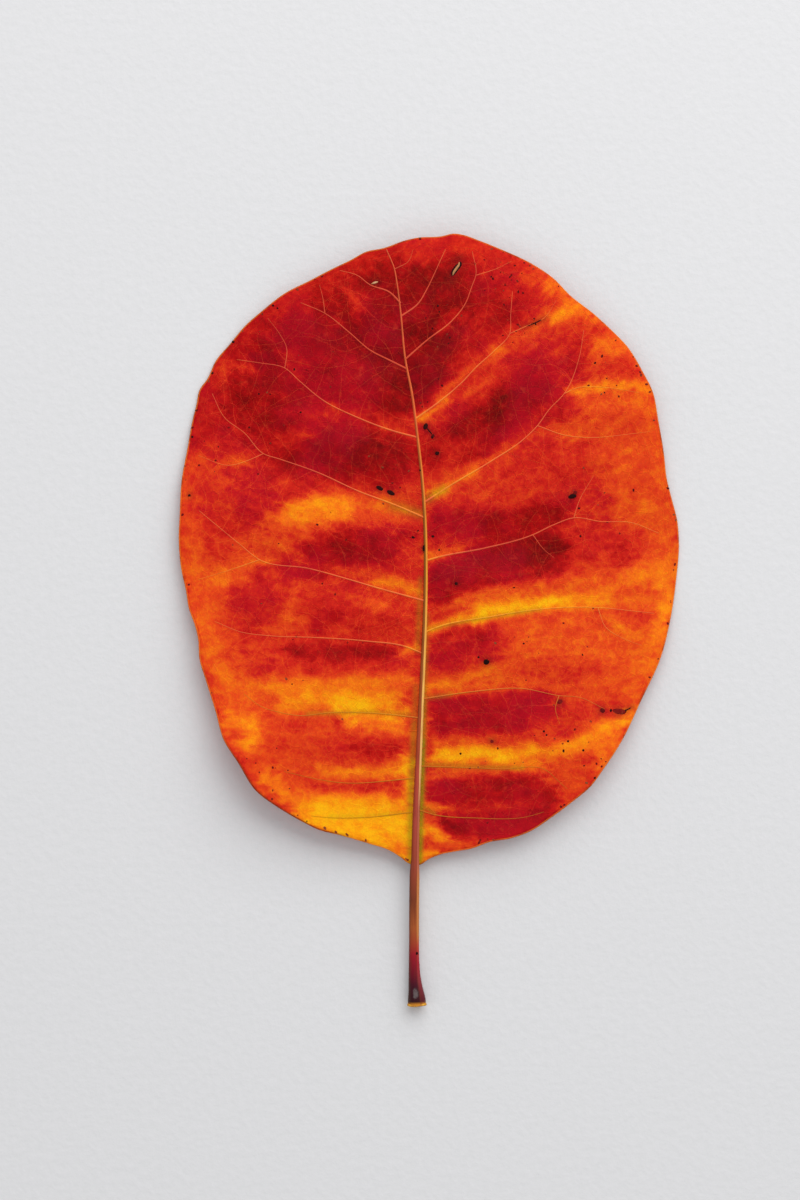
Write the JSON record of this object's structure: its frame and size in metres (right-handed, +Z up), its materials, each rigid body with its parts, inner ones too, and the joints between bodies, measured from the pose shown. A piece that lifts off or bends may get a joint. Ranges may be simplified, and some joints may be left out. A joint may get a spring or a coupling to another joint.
{
  "type": "autumn leaf",
  "caption": "Fallen oval leaf with an even margin, a raised midrib, side veins and a short stalk with a flared end, lying gently waved on a surface",
  "frame": {"origin": "on the surface the leaf lies on, under the middle of the whole leaf, stalk included", "axes": "+Y from the stalk towards the tip, +X to the right seen from above with the tip up, +Z up from the surface"},
  "size_m": [0.0563, 0.0866, 0.0045],
  "materials": {
    "leaf": "satin"
  },
  "bodies": {
    "root": {"leaf": "leaf"}
  },
  "joints": []
}
